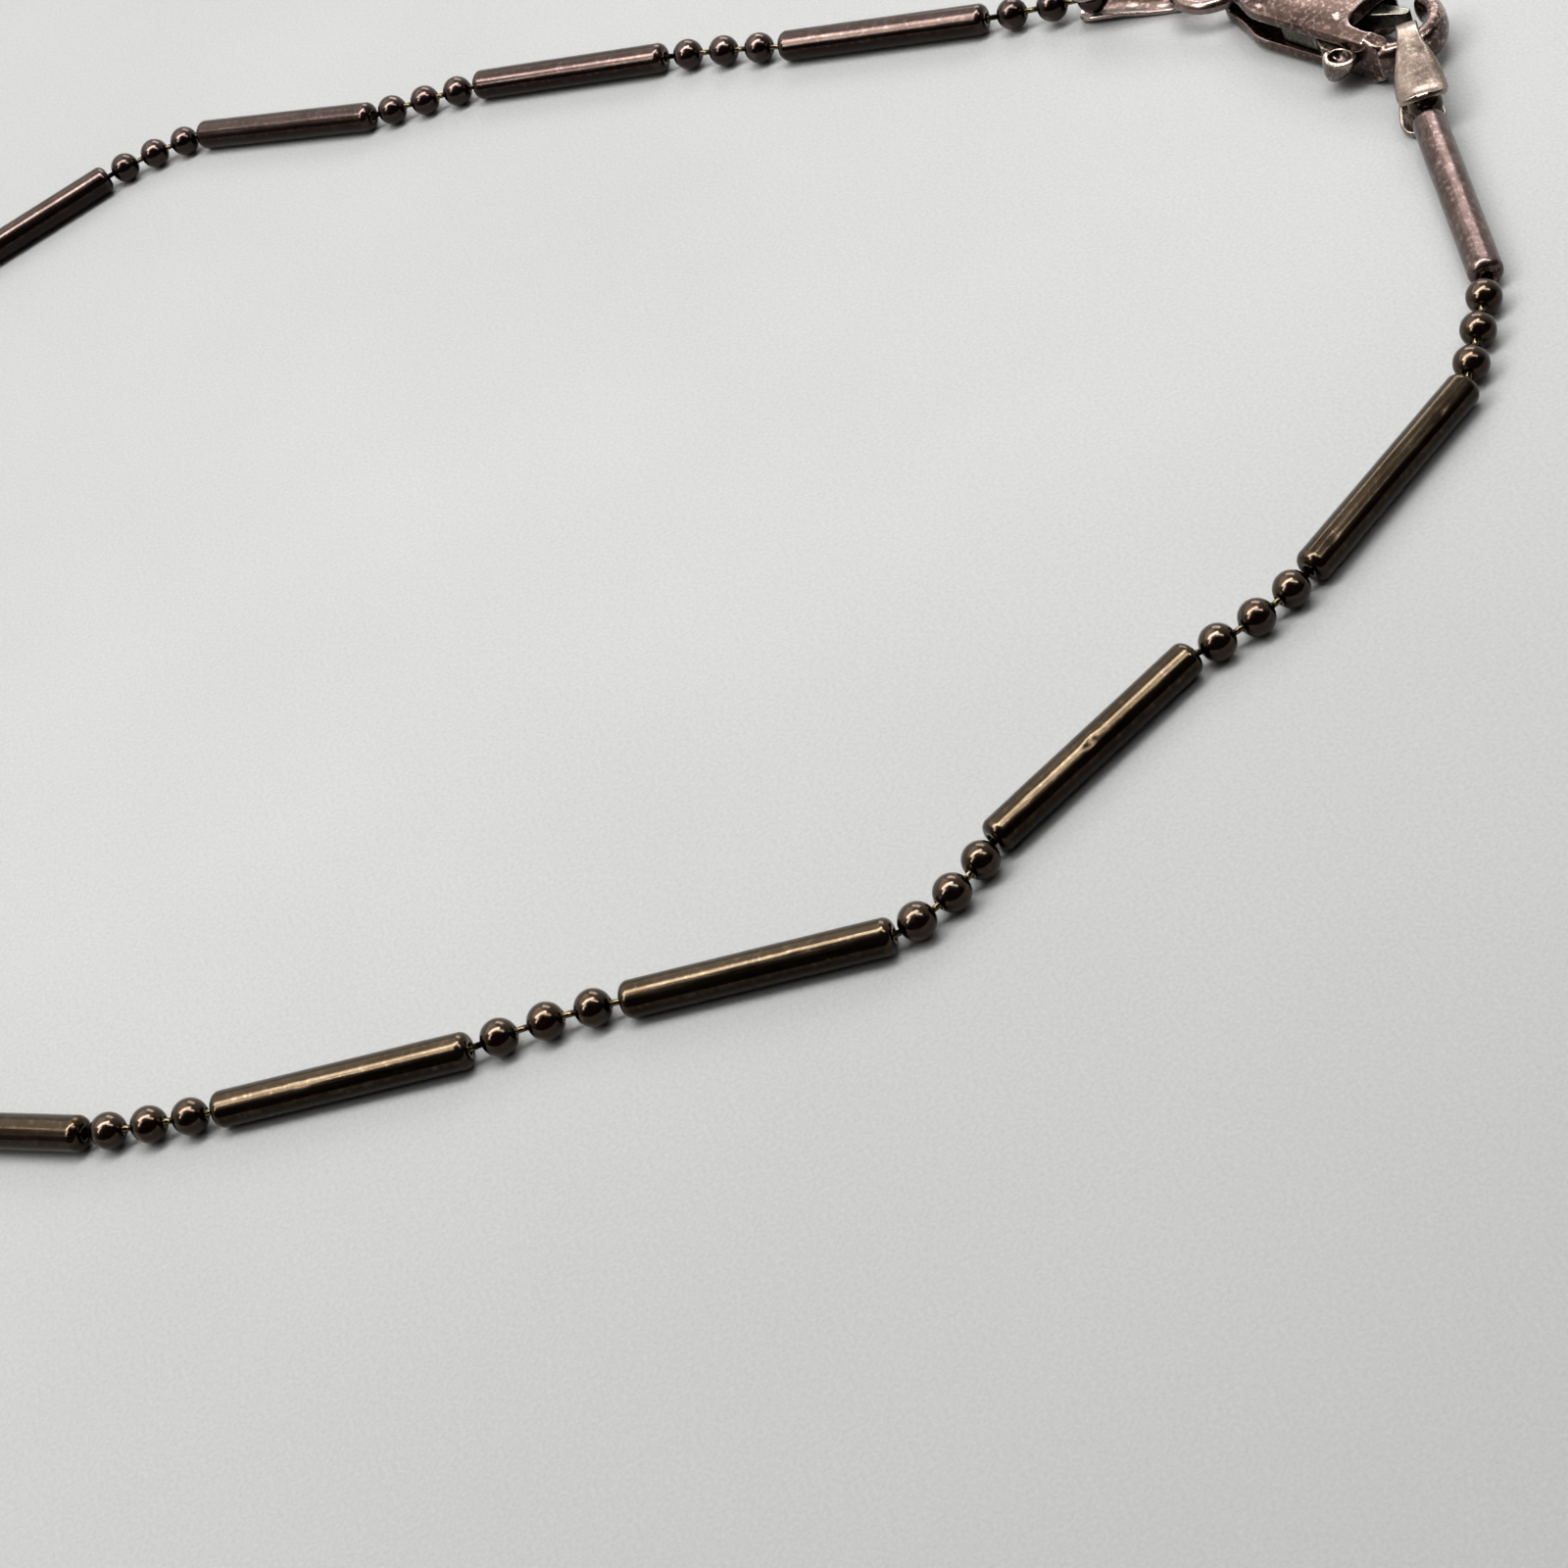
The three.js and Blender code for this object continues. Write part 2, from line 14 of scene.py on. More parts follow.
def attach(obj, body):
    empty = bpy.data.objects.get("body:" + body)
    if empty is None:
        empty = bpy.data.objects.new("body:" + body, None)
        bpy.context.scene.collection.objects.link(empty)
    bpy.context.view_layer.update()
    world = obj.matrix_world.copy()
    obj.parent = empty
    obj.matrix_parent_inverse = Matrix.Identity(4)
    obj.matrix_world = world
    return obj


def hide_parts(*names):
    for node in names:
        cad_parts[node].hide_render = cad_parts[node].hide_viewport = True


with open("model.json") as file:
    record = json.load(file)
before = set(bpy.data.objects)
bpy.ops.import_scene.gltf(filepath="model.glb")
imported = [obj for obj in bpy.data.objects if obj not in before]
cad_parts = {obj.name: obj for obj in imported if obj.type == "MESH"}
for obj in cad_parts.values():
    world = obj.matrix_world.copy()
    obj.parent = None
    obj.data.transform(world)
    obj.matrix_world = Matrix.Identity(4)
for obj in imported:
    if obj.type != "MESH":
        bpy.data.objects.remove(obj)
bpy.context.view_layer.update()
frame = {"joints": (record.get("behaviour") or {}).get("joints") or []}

MM = 0.001

# Chain. Where a pin's head starts is measured from the middle of the bar's wall it hooks through.
# The loose pin's starts short of that, so it stays outside its bar.
CHAIN_RADIUS = 0.75
BAR_LENGTH = 10.8
BAR_WALL = 0.13
BORE_RADIUS = 0.6
PIN_HOLE_RADIUS = 0.3
PIN_RADIUS = 0.13
PIN_HEAD_RADIUS = 0.25
PIN_HEAD_START = 0.36
PIN_HEAD_LENGTH = 0.18
LOOSE_PIN_HEAD_START = -0.2
BAR_SIDES = 48
BAR_STEPS = 44
BAR_END_REACH = 0.42
BAR_END_RADIUS = 0.37
BEAD_SIDES = 32
BEAD_LIP_DEGREES = 21
BEAD_STEPS = 20

# Clasp, ring and tags. The hook's arc and the ring's split are in degrees from the clasp's own +X.
# The slot in the clasp's body, and the lever in it, are each given as a lowest and a highest height.
CLASP_THICKNESS = 2.5
HOOK_CENTRE = Vector((8.6, 0))
HOOK_RADIUS = 1.9
HOOK_HALF_WIDTH = 0.5
HOOK_HALF_HEIGHT = 0.8
HOOK_ARC = (-66, 98)
HOOK_TIP_DEGREES = 16
LEVER_SLOT = (0.75, 1.75)
LEVER_LAYER = (0.82, 1.68)
LEVER_PIVOT = Vector((5.0, 0.2))
TAB_ROOT_Y = -2.02
RING_RADIUS = 1.85
RING_WIRE_RADIUS = 0.35
RING_CENTRE = Vector((-2.25, 0))
RING_SPLIT_AT = 118
RING_SPLIT_HALF = 0.9
RING_STEPS = 96
RING_SIDES = 28
TAG_THICKNESS = 0.28
TAG_FOLD_DEPTH = 1.16
TAG_FOLD_X = 1.11
TAG_BEAD_REACH = 4.78
TAG_BEAD_HEIGHT = 1.08
LOWER_LEAF_SKEW = -0.25

# Where the pieces lie. Headings are degrees counterclockwise from +X, seen from above.
CLASP_EYE = Vector((35.6, 129.98, 0))
CLASP_HEADING = -67
RING_TAG_HEADING = 141
RING_TAG_INSET = 0.59
HOOK_TAG_FOLD = Vector((39.34, 121.3, 0))
HOOK_TAG_HEADING = 250.6
RING_SIDE_FIRST_BAR_HEADING = 144
HOOK_SIDE_FIRST_BAR_HEADING = 255

# From each tag the chain comes down to the surface: its heading, the gap beside a bead, the drop at each step.
RING_SIDE_FIRST_RUN = (144.7, 0.546, (0.15, 0.13, 0.05))
HOOK_SIDE_PIN = (249, 0.345, 0.03)

# Heading of a run's first pin, of its last pin, gap beside each bead, heading of the bar after it.
RING_SIDE_LINKS = [
    (137, 143, 0.5, 145),
    (156, 159, 0.33, 142),
    (161, 182, 0.25, 188),
    (183, 177, 0.33, 172),
    (168, 164, 0.33, 160),
    (160, 160, 0.33, 160),
    (163, 167, 0.33, 170),
    (177, 185, 0.33, 192),
    (201, 214, 0.33, 223),
    (234, 248, 0.33, 258),
]
# The run after the last of these bars, where the loop is open: first pin, last pin, gap.
LOOSE_RUN = (268, 282, 0.33)
HOOK_SIDE_LINKS = [
    (236, 233, 0.43, 208),
    (204, 177, 0.28, 200),
    (219, 183, 0.2, 160),
    (159, 171, 0.42, 160),
    (159, 152, 0.3, 143),
    (149, 156, 0.33, 162),
    (165, 169, 0.33, 172),
    (172, 172, 0.33, 172),
    (170, 166, 0.33, 164),
    (158, 149, 0.33, 143),
    (134, 122, 0.33, 113),
]

# Dents in single bars: distance along, degrees from the top towards the bar's left, reach, depth
DENTS = {
    "bar_14": [(5.5, 28, 0.34, 0.075), (5.9, 44, 0.2, 0.04), (8.9, 20, 0.4, 0.02)],
    "bar_13": [(2.2, 35, 0.5, 0.025), (9.4, 30, 0.4, 0.02)],
    "bar_15": [(3.4, 30, 0.6, 0.018)],
    "bar_16": [(6.8, 22, 0.5, 0.02)],
    "bar_12": [(4.0, -10, 0.6, 0.03), (7.6, 12, 0.5, 0.025)],
}


# ---------- placing ----------


def step_from(place, heading, distance, drop=0.0):
    """The point a distance on from place, along a heading seen from above, and lower by drop."""
    angle = math.radians(heading)
    return Vector((place.x + distance * math.cos(angle), place.y + distance * math.sin(angle), place.z - drop))


def frame_shift():
    """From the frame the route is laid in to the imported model's, in mm, by the lever's pivot."""
    pivot = next(j for j in frame["joints"] if j["name"] == "lever_pivot")
    laid = CLASP_EYE + Matrix.Rotation(math.radians(CLASP_HEADING), 3, "Z") @ LEVER_PIVOT.to_3d()
    packed = Vector(pivot["pos_m"]) / MM
    return Vector((packed.x - laid.x, packed.y - laid.y, 0))


SHIFT = frame_shift()


def place_matrix(place, heading=0.0, dip=0.0):
    """Puts a piece drawn about its own origin, in metres, where it lies."""
    turn = Matrix.Rotation(math.radians(heading), 4, "Z") @ Matrix.Rotation(dip, 4, "Y")
    return Matrix.Translation((place + SHIFT) * MM) @ turn


# ---------- meshes ----------


def new_object(name, points, faces, unit=MM):
    """A mesh object from points in mm, with its faces turned outwards."""
    mesh = bpy.data.meshes.new(name)
    mesh.from_pydata([Vector(p) * unit for p in points], [], faces)
    shape = bmesh.new()
    shape.from_mesh(mesh)
    bmesh.ops.recalc_face_normals(shape, faces=shape.faces)
    shape.to_mesh(mesh)
    shape.free()
    mesh.shade_smooth()
    piece = bpy.data.objects.new(name, mesh)
    bpy.context.scene.collection.objects.link(piece)
    return piece


def ring_faces(rings, sides, closed=False, start=0):
    """Quads between neighbouring rings of points."""
    faces = []
    for i in range(rings if closed else rings - 1):
        near = start + i * sides
        far = start + ((i + 1) % rings) * sides
        for k in range(sides):
            after = (k + 1) % sides
            faces.append((near + k, near + after, far + after, far + k))
    return faces


def capped_skin(name, rings, unit=MM):
    """Rings of points joined into a closed skin, its ends closed flat."""
    sides = len(rings[0])
    faces = ring_faces(len(rings), sides)
    last = (len(rings) - 1) * sides
    faces.append(tuple(range(sides)))
    faces.append(tuple(range(last, last + sides)))
    return new_object(name, [p for ring in rings for p in ring], faces, unit)


def finish_piece(piece, body, materials, replaced):
    for material in materials:
        piece.data.materials.append(material)
    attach(piece, body)
    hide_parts(replaced)


def apply_modifiers(piece):
    mesh = bpy.data.meshes.new_from_object(piece.evaluated_get(bpy.context.evaluated_depsgraph_get()))
    piece.modifiers.clear()
    piece.data = mesh


def combine(piece, tool, operation):
    """Joins a tool to a piece or cuts it away, and removes the tool."""
    modifier = piece.modifiers.new("combine", "BOOLEAN")
    modifier.operation = operation
    modifier.object = tool
    modifier.solver = "EXACT"
    apply_modifiers(piece)
    bpy.data.objects.remove(tool)


def soften(piece, voxel, rounds, ratio):
    """Rounds a piece's edges as casting and wear do, working in mm, then lightens its mesh."""
    remesh = piece.modifiers.new("remesh", "REMESH")
    remesh.mode = "VOXEL"
    remesh.voxel_size = voxel
    smooth = piece.modifiers.new("smooth", "SMOOTH")
    smooth.factor = 0.5
    smooth.iterations = rounds
    apply_modifiers(piece)
    lighten = piece.modifiers.new("lighten", "DECIMATE")
    lighten.ratio = ratio
    apply_modifiers(piece)


def to_metres(piece, place, heading):
    piece.data.transform(Matrix.Scale(MM, 4))
    piece.data.shade_smooth()
    piece.matrix_world = place_matrix(place, heading)


# ---------- outlines ----------


def rounded(points, reach, steps=5):
    """A closed outline with each corner rounded off over the given reach."""
    outline = []
    count = len(points)
    for i in range(count):
        corner = Vector(points[i])
        back = Vector(points[i - 1]) - corner
        on = Vector(points[(i + 1) % count]) - corner
        near = corner + back.normalized() * min(reach, back.length * 0.48)
        far = corner + on.normalized() * min(reach, on.length * 0.48)
        for k in range(steps + 1):
            t = k / steps
            outline.append(near * (1 - t) ** 2 + corner * 2 * t * (1 - t) + far * t ** 2)
    return outline


def prism(name, outline, bottom, top):
    """A straight-sided solid of an outline, in mm."""
    count = len(outline)
    points = [(p[0], p[1], z) for z in (bottom, top) for p in outline]
    faces = ring_faces(2, count)
    faces.append(tuple(range(count)))
    faces.append(tuple(range(count, 2 * count)))
    return new_object(name, points, faces, unit=1.0)


def on_circle(centre, radius, degrees):
    angle = math.radians(degrees)
    return Vector((centre[0] + radius * math.cos(angle), centre[1] + radius * math.sin(angle)))


def arc(centre, radius, start, end, steps=12):
    return [on_circle(centre, radius, start + (end - start) * i / steps) for i in range(steps + 1)]


def disc(name, centre, radius, bottom, top, sides=40):
    return prism(name, arc(centre, radius, 0, 360 - 360 / sides, sides - 1), bottom, top)


def ball(name, centre, radii):
    """A ball or egg, in mm, used to join or scoop."""
    shape = bmesh.new()
    bmesh.ops.create_icosphere(shape, subdivisions=5, radius=1.0)
    mesh = bpy.data.meshes.new(name)
    shape.to_mesh(mesh)
    shape.free()
    mesh.transform(Matrix.Translation(centre) @ Matrix.Diagonal((*radii, 1)))
    piece = bpy.data.objects.new(name, mesh)
    bpy.context.scene.collection.objects.link(piece)
    return piece


# ---------- chain pieces ----------


def bar_radius(name, seed, x, angle):
    """The bar's outer radius: drawn lines along it, a slight unevenness, and its dents."""
    line = noise.noise(Vector((seed, 3.1 * math.cos(angle), 3.1 * math.sin(angle))))
    swell = noise.noise(Vector((0.55 * x + seed, math.cos(angle), math.sin(angle))))
    radius = CHAIN_RADIUS - 0.008 - 0.005 * line - 0.006 * swell
    for along, degrees, reach, depth in DENTS.get(name, []):
        across = CHAIN_RADIUS * (angle - math.radians(90 - degrees))
        radius -= depth * math.exp(-((x - along) ** 2 + across ** 2) / (reach / 2) ** 2)
    return min(radius, CHAIN_RADIUS)


def bar_profile():
    """Three stretches of half the bar's section, as (x, radius): the hole's lip, the rounded end, the inside."""
    half = BAR_WALL / 2
    rise = CHAIN_RADIUS - BAR_END_RADIUS
    lip = [(0.0, 0.245), (-0.045, 0.255), (-half, 0.29), (-half, BAR_END_RADIUS)]
    curve = [math.radians(90 * k / 8) for k in range(1, 9)]
    end = [(-half + BAR_END_REACH * (1 - math.cos(t)), BAR_END_RADIUS + rise * math.sin(t)) for t in curve]
    inside = [(half + 0.09, BORE_RADIUS), (half + 0.02, 0.5), (half, PIN_HOLE_RADIUS + 0.01)]
    return lip, end, inside


def make_bar(name, start, heading, body_look, seed, drop=0.0):
    """A hollow bar from the middle of its first end wall, dipping by drop. Returns the middle of the other."""
    span = BAR_LENGTH - BAR_WALL
    lip, end, inside = bar_profile()
    first, last = end[-1][0], span - end[-1][0]
    straight = [(first + (last - first) * k / BAR_STEPS, None) for k in range(1, BAR_STEPS)]
    there = lip + end + straight + [(span - x, r) for x, r in reversed(lip + end)]
    back = [(span - x, r) for x, r in reversed(inside)] + inside
    points = []
    for x, radius in there + back:
        for k in range(BAR_SIDES):
            angle = 2 * math.pi * k / BAR_SIDES
            r = bar_radius(name, seed, x, angle) if radius is None else radius
            if radius is not None and radius > 0.7:
                r = min(radius, bar_radius(name, seed, x, angle))
            points.append((x, r * math.cos(angle), r * math.sin(angle)))
    piece = new_object(name + "_look", points, ring_faces(len(there) + len(back), BAR_SIDES, closed=True))
    piece.matrix_world = place_matrix(start, heading, math.asin(drop / span))
    material, slot = body_look
    finish_piece(piece, name, [material], name)
    return step_from(start, heading, math.sqrt(span ** 2 - drop ** 2), drop)


def cross_ring(place, direction, radius, sides=BEAD_SIDES):
    side = Vector((-direction.y, direction.x, 0)).normalized()
    up = direction.cross(side)
    ring = []
    for k in range(sides):
        angle = 2 * math.pi * k / sides
        ring.append(place + side * radius * math.cos(angle) + up * radius * math.sin(angle))
    return ring


def bead_profile():
    """The bead's section from one pin to the other, as (distance from its middle, radius)."""
    lip = [(-0.62, PIN_RADIUS), (-0.62, 0.19), (-0.69, 0.2), (-0.708, 0.23)]
    sweep = 180 - 2 * BEAD_LIP_DEGREES
    curve = [math.radians(BEAD_LIP_DEGREES + sweep * k / BEAD_STEPS) for k in range(BEAD_STEPS + 1)]
    skin = [(-CHAIN_RADIUS * math.cos(t), CHAIN_RADIUS * math.sin(t)) for t in curve]
    return lip + skin + [(-x, r) for x, r in reversed(lip)]


def make_run(name, stops, looks, starts_with_bead=False, head_start=PIN_HEAD_START):
    """Beads and the headed pins between them, as one skin through the given stops.

    A stop is the middle of a bead or, where a pin hooks into a bar, of the bar's end wall.
    """
    origin = stops[0].copy()
    stops = [stop - origin for stop in stops]
    last = len(stops) - 1
    ways = [(stops[i + 1] - stops[i]).normalized() for i in range(last)]
    rings, is_pin = [], []

    def add(place, way, radius, pin):
        rings.append(cross_ring(place, way, radius))
        is_pin.append(pin)

    def add_head(stop, way, start, outwards):
        profile = [(0, PIN_RADIUS), (0.03, 0.22), (0.09, PIN_HEAD_RADIUS), (0.15, 0.2), (PIN_HEAD_LENGTH, 0.05)]
        for along, radius in profile if outwards > 0 else reversed(profile):
            add(stop + way * outwards * (start + along), way, radius, True)

    if not starts_with_bead:
        add_head(stops[0], ways[0], PIN_HEAD_START, -1)
    for i in range(0 if starts_with_bead else 1, last):
        way = (ways[max(i - 1, 0)] + ways[i]).normalized()
        profile = bead_profile()
        if starts_with_bead and i == 0:
            way = ways[0]
            profile = [(-CHAIN_RADIUS, 0.02), (-0.745, 0.09), (-0.735, 0.16)] + profile[4:]
        for along, radius in profile:
            add(stops[i] + way * along, way, radius, radius < 0.2)
    add_head(stops[last], ways[last - 1], head_start, 1)
    piece = capped_skin(name + "_look", rings)
    bead_material, pin_material, slot = looks
    for polygon in piece.data.polygons:
        ring_ids = {vertex // BEAD_SIDES for vertex in polygon.vertices}
        polygon.material_index = 1 if all(is_pin[ring] for ring in ring_ids) else 0
    piece.matrix_world = place_matrix(origin)
    finish_piece(piece, name, [bead_material, pin_material], name)
    return stops[last] + origin


def pin_reach(gap):
    return BAR_WALL / 2 + gap + CHAIN_RADIUS


def run_stops(start, first, last, gap):
    lengths = [pin_reach(gap), 2 * CHAIN_RADIUS + gap, 2 * CHAIN_RADIUS + gap, pin_reach(gap)]
    stops = [start]
    for i, length in enumerate(lengths):
        stops.append(step_from(stops[-1], first + (last - first) * i / 3, length))
    return stops


# ---------- tags and ring ----------


def tag_stations():
    """Along the strip from the lower mouth round the fold to the upper: x, z, slope, half width, edge curl."""
    low = TAG_THICKNESS / 2
    middle = CLASP_THICKNESS / 2
    high = CLASP_THICKNESS - low
    fold = []
    for slope in (180, 150, 120, 90, 60, 30, 0):
        angle = math.radians(slope)
        height = middle + (middle - low) * math.cos(angle)
        fold.append((TAG_FOLD_X - TAG_FOLD_DEPTH * math.sin(angle), height, slope, 0.48, 0.0))
    return [
        (5.66, low + 0.08, 197, 0.2, 0.0),
        (5.6, low + 0.05, 192, 0.48, 0.05),
        (5.44, low + 0.01, 186, 0.76, 0.12),
        (5.14, low, 181, 0.94, 0.2),
        (4.7, low, 180, 1.0, 0.24),
        (3.6, low, 180, 0.9, 0.22),
        (2.7, low, 180, 0.72, 0.13),
        (1.9, low, 180, 0.55, 0.05),
        *fold,
        (1.9, high - 0.03, -3, 0.56, 0.05),
        (2.7, high - 0.1, -6, 0.78, 0.14),
        (3.6, 2.17, -8, 1.0, 0.26),
        (4.7, 2.02, -3, 1.12, 0.3),
        (5.14, 2.01, 3, 1.06, 0.25),
        (5.41, 2.04, 14, 0.9, 0.15),
        (5.59, 2.11, 24, 0.6, 0.06),
        (5.66, 2.15, 26, 0.3, 0.01),
    ]


def smooth_through(rows, steps):
    """Rows of numbers with a smooth curve of more rows through them."""
    result = []
    last = len(rows) - 1
    for i in range(last):
        quad = [rows[max(i - 1, 0)], rows[i], rows[i + 1], rows[min(i + 2, last)]]
        for k in range(steps):
            t = k / steps
            row = []
            for a, b, c, d in zip(*quad):
                bend = (2 * a - 5 * b + 4 * c - d) * t * t + (3 * b - a - 3 * c + d) * t ** 3
                row.append(0.5 * (2 * b + (c - a) * t + bend))
            result.append(row)
    result.append(list(rows[last]))
    return result


def tag_ring(station, seed):
    """The closed section of the strip at a station, rounded at its edges."""
    x, z, slope, half_width, curl = station
    angle = math.radians(slope)
    normal = Vector((-math.sin(angle), 0, math.cos(angle)))
    half = TAG_THICKNESS / 2
    lanes = [-1 + 2 * k / 12 for k in range(13)]
    skew = LOWER_LEAF_SKEW * min(max((x - 1.9) / 1.5, 0.0), 1.0) if slope > 90 else 0.0
    flat = max(half_width - 0.07, 0.02)
    section = [(lane * flat, half) for lane in lanes]
    section += [(half_width - 0.02, half * 0.7), (half_width, 0), (half_width - 0.02, -half * 0.7)]
    section += [(lane * flat, -half) for lane in reversed(lanes)]
    section += [(0.02 - half_width, -half * 0.7), (-half_width, 0), (0.02 - half_width, half * 0.7)]
    ring = []
    for across, off in section:
        lane = across / half_width
        wear = 0.012 * (noise.noise(Vector((1.7 * x, 1.7 * across, z + seed))) - 1)
        place = Vector((x, across + skew, z)) + normal * (off - curl * lane ** 2 + (wear if off > 0 else -wear))
        ring.append(place)
    return ring


def make_tag(name, fold, heading, material, seed):
    rings = [tag_ring(station, seed) for station in smooth_through(tag_stations(), 5)]
    piece = capped_skin(name + "_look", rings)
    piece.matrix_world = place_matrix(fold, heading)
    finish_piece(piece, name, [material], name)
    return step_from(fold, heading, TAG_BEAD_REACH, -TAG_BEAD_HEIGHT)


def make_ring(centre, material):
    """The jump ring's bent wire, its two ends meeting at a fine split."""
    rings = []
    for i in range(RING_STEPS + 1):
        degrees = RING_SPLIT_AT + RING_SPLIT_HALF + (360 - 2 * RING_SPLIT_HALF) * i / RING_STEPS
        out = on_circle((0, 0), 1.0, degrees).to_3d()
        ring = []
        for k in range(RING_SIDES):
            angle = 2 * math.pi * k / RING_SIDES
            wire = RING_WIRE_RADIUS - 0.006 + 0.006 * noise.noise(out * 2.3 + Vector((0, 0, math.sin(angle))))
            ring.append(out * (RING_RADIUS + wire * math.cos(angle)) + Vector((0, 0, wire * math.sin(angle))))
        rings.append(ring)
    piece = capped_skin("jump_ring_look", rings)
    piece.matrix_world = place_matrix(centre, CLASP_HEADING)
    finish_piece(piece, "jump_ring", [material], "jump_ring")


# ---------- clasp ----------


def mirrored(points):
    return [(x, -y) for x, y in reversed(points)]


def hook_tube():
    """The hook's round arm, in mm."""
    rings = []
    first, last = HOOK_ARC
    for i in range(37):
        degrees = first + (last - first) * i / 36
        taper = min(1.0, 0.35 + 0.65 * math.sqrt(max(0.0, (last - degrees) / HOOK_TIP_DEGREES)))
        out = on_circle((0, 0), 1.0, degrees).to_3d()
        centre = HOOK_CENTRE.to_3d() + out * HOOK_RADIUS + Vector((0, 0, CLASP_THICKNESS / 2))
        ring = []
        for k in range(32):
            angle = 2 * math.pi * k / 32
            wide = abs(math.cos(angle)) ** 0.85 * math.copysign(HOOK_HALF_WIDTH * taper, math.cos(angle))
            tall = abs(math.sin(angle)) ** 0.85 * math.copysign(HOOK_HALF_HEIGHT * taper, math.sin(angle))
            ring.append(centre + out * wide + Vector((0, 0, tall)))
        rings.append(ring)
    return capped_skin("hook_tube", rings, unit=1.0)


def arm_wedge(upper):
    """The wedge taken off the arm, above or below, where it thins to the hook."""
    inset = CLASP_THICKNESS / 2 - HOOK_HALF_HEIGHT
    profile = [(8.7, 0.0), (8.7, -1.0), (11, -1), (11, inset), (9.7, inset)]
    points = []
    for y in (-3.0, 3.0):
        for x, z in profile:
            points.append((x, y, CLASP_THICKNESS - z if upper else z))
    faces = ring_faces(2, 5) + [tuple(range(5)), tuple(range(5, 10))]
    return new_object("arm_wedge", points, faces, unit=1.0)


def crown(piece):
    """Domes the clasp's two outer faces towards their edges."""
    middle = CLASP_THICKNESS / 2
    for vertex in piece.data.vertices:
        x, y, z = vertex.co
        off = z - middle
        outer = min(max((abs(off) - 0.62) / 0.6, 0.0), 1.0)
        edge = min(abs(y) / 2.05, 1.0) ** 2.6
        tail = min(max((1.4 - x) / 2.6, 0.0), 1.0) ** 2
        dome = 0.26 * edge + 0.2 * tail
        if x < 8.8:
            vertex.co.z = middle + off - math.copysign(outer * dome, off)


def make_clasp_body(material):
    tail = [(-1.35, -0.5), (-0.95, -0.95), (0.68, -1.44), (2.0, -2.05)]
    arm_end = [(9.35, -2.05), (9.6, -1.85), (9.6, -1.1)]
    throat = [(8.6, -1.4), (7.5, -1.3), (7.1, -0.9), (7.1, 0.9), (7.4, 1.6)]
    outline = [*tail, *arm_end, *throat, (7.15, 2.05), *mirrored(tail)]
    near_side = [(-1.4, -3.2), (7.6, -3.2), (7.6, -1.25), (7.9, -1.0)]
    gate_way = [(7.9, 1.75), (7.0, 1.75), (6.2, 1.45), (5.3, 0.95)]
    far_side = [(0.2, 0.95), (0.2, 3.2), (-1.4, 3.2)]
    slot = [*near_side, *gate_way, *far_side, *arc(RING_CENTRE, 1.4, 50, -50)]
    body = prism("clasp_body_look", rounded(outline, reach=0.45), 0.0, CLASP_THICKNESS)
    combine(body, prism("slot_cut", slot, *LEVER_SLOT), "DIFFERENCE")
    combine(body, disc("pin_hole", LEVER_PIVOT, 0.35, -1, 4), "DIFFERENCE")
    combine(body, arm_wedge(True), "DIFFERENCE")
    combine(body, arm_wedge(False), "DIFFERENCE")
    combine(body, hook_tube(), "UNION")
    soften(body, voxel=0.05, rounds=22, ratio=0.5)
    crown(body)
    to_metres(body, CLASP_EYE, CLASP_HEADING)
    finish_piece(body, "clasp", [material], "clasp_body")


def thumb_tab():
    """The lever's thumb tab before its top is scooped: a rounded tongue leaning down to its tip, in mm."""
    # Height, the middle's x and y, half the size along x and y
    levels = [
        (1.72, 7.68, -2.5, 0.84, 0.66), (1.45, 7.66, -2.52, 0.84, 0.67), (1.1, 7.55, -2.57, 0.76, 0.63),
        (0.8, 7.42, -2.62, 0.62, 0.54), (0.56, 7.32, -2.67, 0.44, 0.4), (0.42, 7.28, -2.7, 0.26, 0.24),
        (0.36, 7.27, -2.7, 0.1, 0.1),
    ]
    rings = []
    for z, x, y, wide, deep in levels:
        ring = [on_circle((0, 0), 1.0, 360 * k / 32) for k in range(32)]
        rings.append([Vector((x + wide * p.x, y + deep * p.y, z)) for p in ring])
    return capped_skin("tab", rings, unit=1.0)


def make_lever(material, tab_material):
    heel = [(4.6, 0.72), (3.3, 0.15), (3.1, -0.5), (3.1, -1.4)]
    arm = [(3.5, -1.75), (5.7, -1.85), (6.5, -2.4), (7.4, -2.4), (7.4, -1.95), (6.0, -0.25)]
    gate = [(8.6, 0.85), (8.75, 1.05), (8.6, 1.28), (5.1, 0.82)]
    lever = prism("clasp_lever_look", rounded([*heel, *arm, *gate], reach=0.14), *LEVER_LAYER)
    combine(lever, thumb_tab(), "UNION")
    combine(lever, ball("scoop", Vector((7.7, -2.5, 2.05)), (0.68, 0.5, 0.8)), "DIFFERENCE")
    combine(lever, disc("lever_hole", LEVER_PIVOT, 0.36, -1, 4), "DIFFERENCE")
    combine(lever, prism("level", [(2, -4), (10, -4), (10, 2), (2, 2)], 1.66, 4), "DIFFERENCE")
    soften(lever, voxel=0.04, rounds=5, ratio=0.5)
    for polygon in lever.data.polygons:
        polygon.material_index = 1 if polygon.center.y < TAB_ROOT_Y else 0
    to_metres(lever, CLASP_EYE, CLASP_HEADING)
    finish_piece(lever, "lever", [material, tab_material], "clasp_lever")


